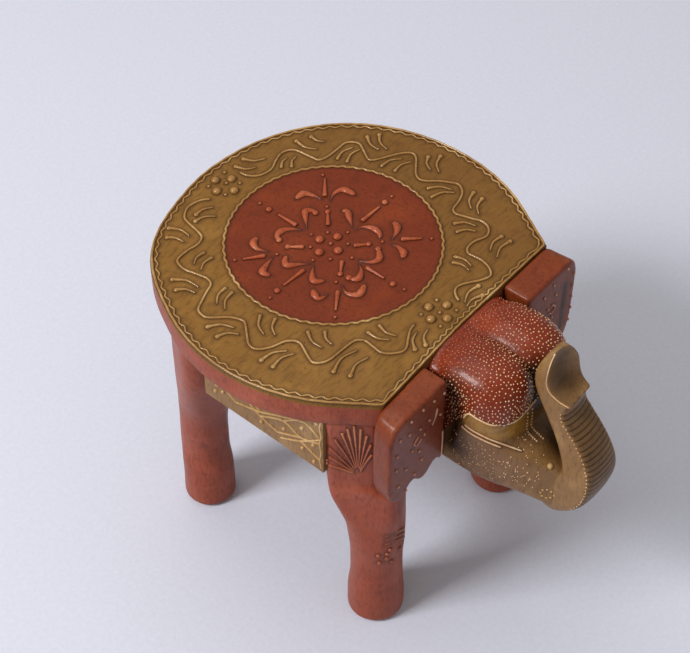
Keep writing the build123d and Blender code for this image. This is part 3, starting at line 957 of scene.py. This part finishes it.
# Head. One block of wood, pegged to the chest board and carved with two domes on top. Its cap is painted
# red and covered in paste drops, and its gold face has broad cheeks that narrow to the muzzle.
jaw_stations = (
    (90, 42.2, -24, -82.5), (113, 42.2, -27, -82.5), (131, 41, -31, -83.5), (143, 38.5, -36, -85),
    (152, 35, -42, -86.5), (160, 31, -47, -88), (168, 26.5, -50, -91.5), (176, 21.5, -54, -96),
    (183, 18, -57, -99.5), (188, 16, -60, -99),
)
dome_half = (24.0, 31.0, 27.0)
dome_place = (18.5, 124.5, -19.5)
nape_half = (41.5, 30.0, 20.5)
nape_place = (0.0, 104.0, -20.6)
brow_half = (38.5, 29.0, 24.0)
brow_place = (0.0, 127.5, -38.0)
head_voxel = 1.15 * mm
head_back = seat_front / mm + 0.4
temple_depth = 4.0
cap_turn = 133.0
cap_slopes = (1.7, -0.35)
cap_low = -18.0
cheek_line = (128.0, -0.33, -34.0)


def egg(mesh, half, place, power=2.7):
    """A round block with these half sizes to the side, ahead and up, squarer for a high power."""
    shape = Matrix.Translation(at(*place)) @ Matrix.Diagonal((*[size * mm for size in half], 1.0))
    for vert in bmesh.ops.create_uvsphere(mesh, u_segments=64, v_segments=32, radius=1.0)["verts"]:
        reach = sum(abs(value) ** power for value in vert.co) ** (-1 / power)
        vert.co = shape @ (vert.co * reach)


def jaw_ring(ahead, half_width, top, bottom):
    """The jaw's outline, a crisp oblong, at a distance ahead."""
    def place(angle):
        across, up = boxed(angle, 9.0)
        return at(half_width * across, ahead, (top + bottom) / 2 + (top - bottom) / 2 * up)
    return place


head_mesh = bmesh.new()
sweep(head_mesh, 96, [jaw_ring(*station) for station in jaw_stations])
for side in (-1, 1):
    egg(head_mesh, dome_half, (side * dome_place[0], dome_place[1], dome_place[2]))
egg(head_mesh, nape_half, nape_place, 4.0)
egg(head_mesh, brow_half, brow_place, 3.4)


def head_colours(tree, where):
    """Red on the cap, bright gold on the face, and a duller, darker gold on the jaw as painted shade."""
    ahead = maths(tree, "SUBTRACT", seat_middle.y, coordinate(tree, where, "Y"))
    rise = maths(tree, "SUBTRACT", coordinate(tree, where, "Z"), seat_middle.z)
    edges = [line_at(tree, ahead, cap_turn * mm, slope, cap_low * mm) for slope in cap_slopes]
    edge = maths(tree, "MINIMUM", *edges)
    cap = step(tree, maths(tree, "SUBTRACT", rise, edge), -0.4 * mm, 0.4 * mm)
    red = aged(tree, where, (116, 40, 17), (74, 24, 10), (134, 54, 26))
    gold = aged(tree, where, (140, 96, 34), (90, 56, 18), (166, 124, 54))
    # Painted shade: the jaw below the cheek line, which faces down, is a duller and darker gold.
    jaw = aged(tree, where, (118, 84, 54), (84, 54, 32), (136, 104, 72))
    cheek = line_at(tree, ahead, cheek_line[0] * mm, cheek_line[1], cheek_line[2] * mm)
    face = step(tree, maths(tree, "SUBTRACT", rise, cheek), -2.0 * mm, 2.0 * mm)
    muzzle = aged(tree, where, (118, 84, 46), (84, 54, 26), (146, 112, 70))
    jaw = blend(tree, step(tree, ahead, 152.0 * mm, 174.0 * mm), jaw, muzzle)
    return blend(tree, cap, blend(tree, face, jaw, gold), red)


head_finish = varnished(
    "head_finish", head_colours, roughness=0.3, coat=0.15, relief=0.8, dull_where_dark=True,
)
head = carve("carved_head", head_mesh, head_voxel, 9, head_finish)


def place_of(vert):
    """Where a vertex is, in millimetres to the left, ahead of the seat's middle and above its top."""
    return vert.co.x / mm, (seat_middle.y - vert.co.y) / mm, (vert.co.z - seat_middle.z) / mm


for vert in head.data.vertices:
    side, ahead, rise = place_of(vert)
    behind = soft((132 - ahead + 0.25 * (rise + 20)) / 9) * soft((abs(side) - 31) / 8)
    under = soft((-4 - rise) / 10) * soft((rise + 74) / 26)
    vert.co.x -= math.copysign(temple_depth * mm * behind * under, side)
cut = bmesh.new()
cut.from_mesh(head.data)
bmesh.ops.bisect_plane(
    cut, geom=cut.verts[:] + cut.edges[:] + cut.faces[:],
    plane_co=at(0, head_back, 0), plane_no=(0, 1, 0), clear_outer=True,
)
close_ends(cut)
cut.to_mesh(head.data)
cut.free()
head.data.shade_smooth()
fix_on(head, "head")

# Trunk. It is carved from the head's block: it leaves the muzzle, swings forward and up, and opens at its
# tip in a scoop. Its front is cut across with close ridges, and its sides are smooth. A station gives the
# rear edge's place ahead and up, the front edge's, and half the width.
trunk_stations = (
    (164, -72, 172, -100, 16.0), (174, -66, 184, -102.5, 17.0), (182.5, -62.5, 196, -93.5, 17.5),
    (186, -58, 204.5, -81, 17.3), (185.5, -53, 208, -66, 16.8), (183, -47.5, 207, -53, 15.6),
    (179, -39, 202.3, -41, 14.4), (174, -29, 195.2, -30.6, 13.8), (168, -18.2, 187.5, -22, 13.5),
    (162.3, -8.5, 181.5, -14.5, 13.3), (157.6, -0.5, 181.5, -6, 13.0), (155.6, 6.5, 186, 0.5, 12.7),
    (156.2, 14.5, 185, 9, 12.4), (158.4, 21.5, 182, 17, 11.2), (160.5, 26.5, 180, 24, 8.8),
    (163, 30, 176, 29, 6.2), (166, 31.5, 171, 31.3, 4.0),
)
trunk_ring_step = 0.62 * mm
ridge_pitch = 3.9 * mm
ridge_depth = 0.75
trunk_crown = 2.0
ridge_stages = (2.6, 9.6)
ridge_shade = 0.35
groove_shade = 0.6
stage_steps = 50
scoop_middle = (190.5, 30.0)
scoop_half = (25.0, 31.0)
scoop_reach = 18.0
scoop_steps = 16
trunk_half = 12.3


def trunk_stage(stage):
    """The trunk's rear and front edge and half width at a stage between two stations."""
    index = min(int(stage), len(trunk_stations) - 2)
    values = [curved(*four, stage - index) for four in zip(*four_about(trunk_stations, index))]
    return Vector(values[0:2]), Vector(values[2:4]), values[4]


def trunk_ring(stage, groove):
    """The trunk's outline at a stage, with a crowned front that is pushed in by a groove's depth."""
    rear, front, half_width = trunk_stage(stage)
    middle = (rear + front) / 2
    half = (front - rear) / 2
    crown = trunk_crown * soft(min(stage - 1.0, 10.5 - stage) / 1.5)

    def place(angle):
        depth, across = boxed(angle, 9.0 if abs(angle) < math.pi / 2 else 6.0)
        facing = soft((math.cos(angle) - 0.35) / 0.2)
        push = half.normalized() * facing * (crown * (1 - across ** 2) - groove)
        spot = middle + half * depth + push
        return at(half_width * across, spot.x, spot.y)
    return place


stages = [(0.0, 0.0)]
front_length = 0.0
last = trunk_stage(0.0)[1]
for number in range(1, stage_steps * (len(trunk_stations) - 1) + 1):
    edge = trunk_stage(number / stage_steps)[1]
    front_length += (edge - last).length * mm
    last = edge
    if front_length - stages[-1][1] >= trunk_ring_step:
        stages.append((number / stage_steps, front_length))

trunk_mesh = bmesh.new()
trunk_shade_layer = trunk_mesh.verts.layers.float.new("wash_and_shade")
ring = start_ring(trunk_mesh, 88, trunk_ring(0.0, 0.0))
around = trunk_mesh.verts.layers.float["around"]
for stage, front_length in stages[1:]:
    ridged = soft((stage - ridge_stages[0]) / 0.4) * soft((ridge_stages[1] - stage) / 0.3)
    groove = (0.5 + 0.5 * math.cos(math.tau * front_length / ridge_pitch)) ** 7 * ridged
    ring = pull_ring(trunk_mesh, ring, trunk_ring(stage, ridge_depth * groove))
    # Painted shade: the ridged front is darkened, and its grooves more so.
    for edge in ring:
        for vert in edge.verts:
            facing = soft((math.cos(vert[around]) - 0.62) / 0.12)
            vert[trunk_shade_layer] = (ridge_shade * ridged + groove_shade * groove) * facing
close_ends(trunk_mesh)

trunk_colours = one_paint((128, 94, 56), (92, 62, 32), (156, 122, 80))
trunk_finish = varnished("trunk_finish", trunk_colours, roughness=0.34, coat=0.15, dull_where_dark=True)
trunk = piece("carved_trunk", trunk_mesh, trunk_finish)


def scoop_ring(side):
    """The scoop's outline at a place across the trunk: deeper in the middle, and turned to the right."""
    share = (side + trunk_half) / (2 * trunk_half)
    deeper = 2.6 * max(0.0, 1 - (side / 11.5) ** 2)

    def place(angle):
        ahead, up = boxed(angle, 4.0)
        return at(
            side,
            scoop_middle[0] + 7.0 * share + (scoop_half[0] + deeper) * ahead,
            scoop_middle[1] - 3.0 * share + (scoop_half[1] + deeper) * up,
        )
    return place


scoop_sides = [2 * scoop_reach * count / scoop_steps - scoop_reach for count in range(scoop_steps + 1)]
scoop_mesh = bmesh.new()
sweep(scoop_mesh, 96, [scoop_ring(side) for side in scoop_sides])
cutter = piece("scoop", scoop_mesh, trunk_finish)
chisel = trunk.modifiers.new("scoop", "BOOLEAN")
chisel.object = cutter
chisel.operation = "DIFFERENCE"
chisel.solver = "EXACT"
settle(trunk)
bpy.data.objects.remove(cutter)
fix_on(trunk, "head")
# Painted shade darkens the inside of the scoop.
scoop_shade = ((0, 166, 24), (0, 165, 16), (0, 166, 9), (1, 170, 4), (3, 176, 2))
rub_in_and_shade(trunk, [(at(*place), 3.0 * mm) for place in scoop_shade], reach=10.0 * mm, strength=0.6)

# Head ornament. Paste drops cover the red cap, a raised line marks its lower edge, a double line runs
# along each cheek, and rows of small drops come down the face and along the trunk. A thin pale line on
# the trunk's near rim is a painted highlight. Painted shade darkens the recesses behind the ears and the
# trunk and the groove between the domes.
cap_spacing = 2.25 * mm
face_columns = (7.8, 12.4)
flower_side = 19
flower_ahead = 181
flower_radius = 4.4
cap_line = (
    (41.5, 128, -27), (42, 132, -19), (39, 138.5, -20), (34, 145, -22), (25, 150, -24), (12, 153, -25),
    (3, 152.5, -25),
)
cheek_lines = (
    ((41, 128.7, -34), (39.5, 134, -36.5), (36, 143, -39), (33, 153, -42), (26, 164, -45)),
    ((42, 126, -37), (40, 133, -39.5), (37, 143, -42), (33.5, 152, -45)),
)


def cap_edge(ahead):
    """How far below the seat's top the cap's lower edge is."""
    return min(slope * (ahead - cap_turn) for slope in cap_slopes) + cap_low


picker = random.Random(4)
head_skins = skin_of(head)
cap_points = []
for vert in head.data.vertices:
    side, ahead, rise = place_of(vert)
    if rise > cap_edge(ahead) + 1.2 and ahead > head_back + 1.5:
        cap_points.append(vert.co.copy())
picker.shuffle(cap_points)
taken = {}
for spot in cap_points:
    cell = tuple(math.floor(value / cap_spacing) for value in spot)
    cells = product(*[(place - 1, place, place + 1) for place in cell])
    if all((taken[near] - spot).length > cap_spacing for near in cells if near in taken):
        taken[cell] = spot
cap_drops = []
for spot in taken.values():
    jitter = Vector([picker.uniform(-0.4, 0.4) * mm for axis in range(3)])
    cap_drops.append((pressed(head_skins, spot + jitter, 0.05), picker.uniform(0.42, 0.66) * mm))


def paste_on_head(tree, where):
    """Pale gold drops, worn down to the red beside the seat."""
    pale = aged(tree, where, (208, 164, 122), (164, 112, 76), (236, 208, 172))
    worn = aged(tree, where, (158, 88, 62), (118, 54, 34), (190, 128, 98))
    back = step(tree, coordinate(tree, where, "Y"), at(0, 132, 0).y, at(0, 102, 0).y)
    return blend(tree, back, pale, worn)


head_paste = varnished("head_paste", paste_on_head, roughness=0.32, coat=0.4)
lines = []
for side in (-1, 1):
    for places in (cap_line,) + cheek_lines:
        spots = [pressed(head_skins, at(side * left, ahead, rise)) for left, ahead, rise in places]
        lines.append(squeezed(spots, 0.65 * mm, 0.6 * mm))
paste_tubes("head_lines", lines, head_paste)
paste_drops("cap_drops", cap_drops, head_paste, segments=6)

face_drops = []
for side in (-1, 1):
    for column in face_columns:
        for count in range(14):
            rise = -25.5 - 3.0 * count
            spot = pressed(head_skins, at(side * column, 152 - 0.22 * (rise + 25), rise), 0.0)
            face_drops.append((spot, 0.8 * mm))
    for count in range(90):
        place = (side * 41, picker.uniform(118, 152), picker.uniform(-78, -46))
        face_drops.append((pressed(head_skins, at(*place), 0.0), 0.42 * mm))
    for count in range(70):
        place = (side * picker.uniform(12, 34), picker.uniform(150, 174), picker.uniform(-80, -48))
        face_drops.append((pressed(head_skins, at(*place), 0.0), 0.5 * mm))
trunk_skins = skin_of(trunk)
for stage, front_length in stages[::4]:
    if ridge_stages[0] - 0.4 < stage < ridge_stages[1]:
        rear, front, half_width = trunk_stage(stage)
        inner = front + (rear - front).normalized() * 1.6
        for side in (-1, 1):
            spot = pressed(trunk_skins, at(side * (half_width + 1), inner.x, inner.y), 0.0)
            face_drops.append((spot, 0.55 * mm))
# Painted highlight: a thin pale paste line along the trunk's near rim, on its right side only, stands for
# the glint on that edge.
rim = (
    (-6, 166.3, 30.2), (-8.7, 165.8, 26), (-11.2, 165.6, 21), (-12.3, 165.7, 14.3), (-12.4, 166.4, 7.7),
    (-12.4, 169.8, 2.6), (-12.6, 176.7, -0.1), (-12.8, 184, -0.9),
)
rim_highlight_spots = [pressed(trunk_skins, at(*place), 0.0) for place in rim]
painted_rim_highlight = squeezed(rim_highlight_spots, 0.45 * mm, 0.35 * mm)
paste_tubes("trunk_rim_line", [painted_rim_highlight], head_paste)
both_skins = trunk_skins + head_skins
muzzle_drops = []
for side in (-1, 1):
    ball = at(side * flower_side, flower_ahead, -55.5)
    muzzle_drops.append((pressed(both_skins, ball, 0.0), 2.0 * mm))
    for count in range(8):
        turn = math.tau * count / 8
        across, up = flower_radius * math.cos(turn), flower_radius * math.sin(turn)
        spot = at(side * flower_side, flower_ahead + across, -84 + up)
        muzzle_drops.append((pressed(both_skins, spot, -0.3), 0.9 * mm))
paste_drops("muzzle_drops", muzzle_drops, board_paste)
paste_drops("face_drops", face_drops, head_paste, segments=6)
# Umber wash and painted shade darken the head beside the cap and cheek lines.
rub_in_and_shade(head, every_drop(lines), reach=1.8 * mm, strength=0.8)

# Painted shade: the head darkens in the recesses behind the ears and behind the trunk, and in the groove
# between the domes, and the trunk darkens at its back.
shade_behind_ears = [drop for side in (-41, 41) for drop in row((side, 116, -6), (0, 0.25, -2.3), 24, 2.0)]
shade_behind_trunk = row((0, 158, -22), (0, 1.8, -3.0), 12, 6.0) + row((2, 151, -9), (2, -1, -2), 7, 6.0)
rub_in_and_shade(head, shade_behind_ears + shade_behind_trunk, reach=14.0 * mm, strength=0.97)
rub_in_and_shade(head, row((0, 98, 2.0), (0, 3, 0), 18, 0.5), reach=5.0 * mm, strength=0.4)
rub_in_and_shade(trunk, row((0, 160, -12), (0, 2, -4), 12, 3.0), reach=9.0 * mm, strength=0.8)

# Dowels. Plain pins of bare wood, glued into the legs, the head and the ears, and seen only when the
# stool is taken apart.
pin_wood = one_paint((182, 146, 104), (156, 120, 82), (196, 164, 122))
pin_finish = varnished("pin_finish", pin_wood, roughness=0.6, coat=0.0)
finish_solids(("leg_dowels", "head_dowels", "ear_dowels"), pin_finish)

# Studio. A plain pale floor, a soft window light from behind the elephant's right side, a weak light from
# the ceiling, and an even pale sky.
def floor_paint(tree, where):
    """A pale paint with a faint grain."""
    grain = cloud(tree, where, 300.0, 4.0)
    return blend(tree, grain, tone(190, 193, 208), tone(206, 208, 220))


floor_mesh = bmesh.new()
bmesh.ops.create_grid(floor_mesh, x_segments=2, y_segments=2, size=20.0)
floor_finish = varnished("floor_finish", floor_paint, roughness=0.8, coat=0.0, relief=0.2)
floor = piece("floor", floor_mesh, floor_finish)


def soft_lamp(name, place, target, size, power):
    """A square soft light at a place, turned to a target."""
    lamp = bpy.data.lights.new(name, "AREA")
    lamp.size = size
    lamp.energy = power
    holder = bpy.data.objects.new(name, lamp)
    holder.location = place
    aim = Vector(target) - Vector(place)
    holder.rotation_euler = aim.to_track_quat("-Z", "Y").to_euler()
    scene.collection.objects.link(holder)


soft_lamp("window", (-1.9, 0.9, 2.2), (0.0, 0.0, 0.15), 0.9, 74.0)
soft_lamp("ceiling", (0.2, 0.5, 1.9), (0.0, 0.0, 0.1), 1.2, 8.0)
world = bpy.data.worlds.new("sky")
world.use_nodes = True
sky = world.node_tree.nodes["Background"]
sky.inputs["Color"].default_value = (1.0, 0.96, 0.9, 1.0)
sky.inputs["Strength"].default_value = 0.5
scene.world = world
scene.view_settings.view_transform = "Standard"
